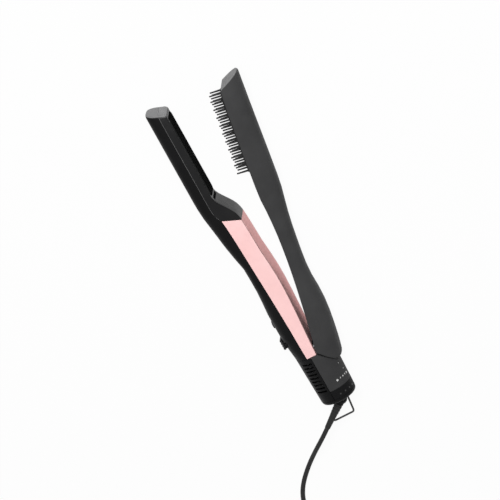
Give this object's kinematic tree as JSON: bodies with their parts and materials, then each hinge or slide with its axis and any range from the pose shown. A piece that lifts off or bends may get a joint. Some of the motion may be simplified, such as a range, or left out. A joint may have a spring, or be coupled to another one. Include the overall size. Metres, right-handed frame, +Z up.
{
  "type": "hair straightening brush",
  "caption": "Hair straightening brush: a heated plate arm and a bristled arm hinged at a round vented base with a swivel cord.",
  "frame": {"origin": "floor point under the middle of the styler's own box, without the cord", "axes": "+Y along the styler from the tail to the tips, +X from the plate arm across to the brush arm, +Z up along the hinge pin"},
  "size_m": [0.1791, 0.5104, 0.036],
  "materials": {
    "black_satin": "satin",
    "grey_matte": "satin",
    "rose_gold": "satin",
    "dark_gloss": "gloss",
    "inner_plastic": "matte",
    "spring_steel": "satin",
    "board_green": "gloss",
    "steel": "satin",
    "lens": "gloss",
    "plate_ceramic": "satin",
    "heater": "matte",
    "brass": "satin",
    "bristle_rubber": "matte",
    "bristle_plastic": "satin",
    "cord_rubber": "matte",
    "tie_fabric": "matte",
    "pin_metal": "polished",
    "black_wire": "satin"
  },
  "bodies": {
    "grip": {"lower_shell": "black_satin", "vent_housing": "black_satin", "base_top_cover": "grey_matte", "end_cap": "black_satin", "grip_cover": "rose_gold", "plate_frame": "dark_gloss", "spring_carrier": "inner_plastic", "plate_springs": "spring_steel", "air_duct": "inner_plastic", "circuit_board": "board_green", "button_switch": "inner_plastic", "hinge_bracket": "steel", "hinge_pin": "steel", "hinge_screws": "steel", "opening_spring": "spring_steel", "motor_cradle": "inner_plastic", "fan_motor": "steel", "indicator_lenses": "lens"},
    "brush_arm": {"brush_shell": "grey_matte", "brush_cover": "black_satin", "hinge_block": "inner_plastic", "hinge_bushes": "brass", "cover_screws": "steel", "bristle_pad": "bristle_rubber", "bristle_row_1": "bristle_plastic", "bristle_row_2": "bristle_plastic", "bristle_row_3": "bristle_plastic", "bristle_row_4": "bristle_plastic", "bristle_row_5": "bristle_plastic"},
    "floating_plate": {"heat_plate": "plate_ceramic", "heater_strip": "heater", "thermal_fuse": "steel"},
    "slider": {"power_slider": "grey_matte"},
    "button": {"heat_button": "grey_matte"},
    "fan": {"fan_impeller": "inner_plastic"},
    "cord": {"swivel_collar": "black_satin", "swivel_clip": "steel", "strain_relief": "cord_rubber", "cord_tube": "cord_rubber", "cord_hank": "cord_rubber", "hank_tie": "tie_fabric", "plug_body": "cord_rubber", "plug_pins": "pin_metal"},
    "loop": {"hang_loop": "black_wire"}
  },
  "joints": [
    {"name": "brush_hinge", "type": "hinge", "parent": "grip", "child": "brush_arm", "pos_m": [-0.01311, -0.09114, 0.018], "axis": [0, 0, 1], "range_deg": [0, 8.3], "stiffness_Nm_per_rad": 0.35, "springref_deg": -6.88},
    {"name": "plate_float", "type": "slide", "parent": "grip", "child": "floating_plate", "axis": [-1, 0, 0], "range_m": [0, 0.001], "stiffness_N_per_m": 2500, "springref_m": -0.001, "deforming": ["plate_springs"]},
    {"name": "power_slide", "type": "slide", "parent": "grip", "child": "slider", "axis": [0, 1, 0], "range_m": [0, 0.006]},
    {"name": "heat_press", "type": "slide", "parent": "grip", "child": "button", "axis": [1, 0, 0], "range_m": [0, 0.0006], "stiffness_N_per_m": 1500, "springref_m": -0.0008},
    {"name": "fan_spin", "type": "hinge", "parent": "grip", "child": "fan", "pos_m": [-0.01611, -0.11434, 0.018], "axis": [0, 1, 0], "continuous": true},
    {"name": "cord_swivel", "type": "hinge", "parent": "grip", "child": "cord", "pos_m": [-0.01611, -0.14674, 0.018], "axis": [0, 1, 0], "continuous": true},
    {"name": "loop_swing", "type": "hinge", "parent": "cord", "child": "loop", "pos_m": [-0.01611, -0.14734, 0.0112], "axis": [1, 0, 0], "range_deg": [0, 75]}
  ]
}
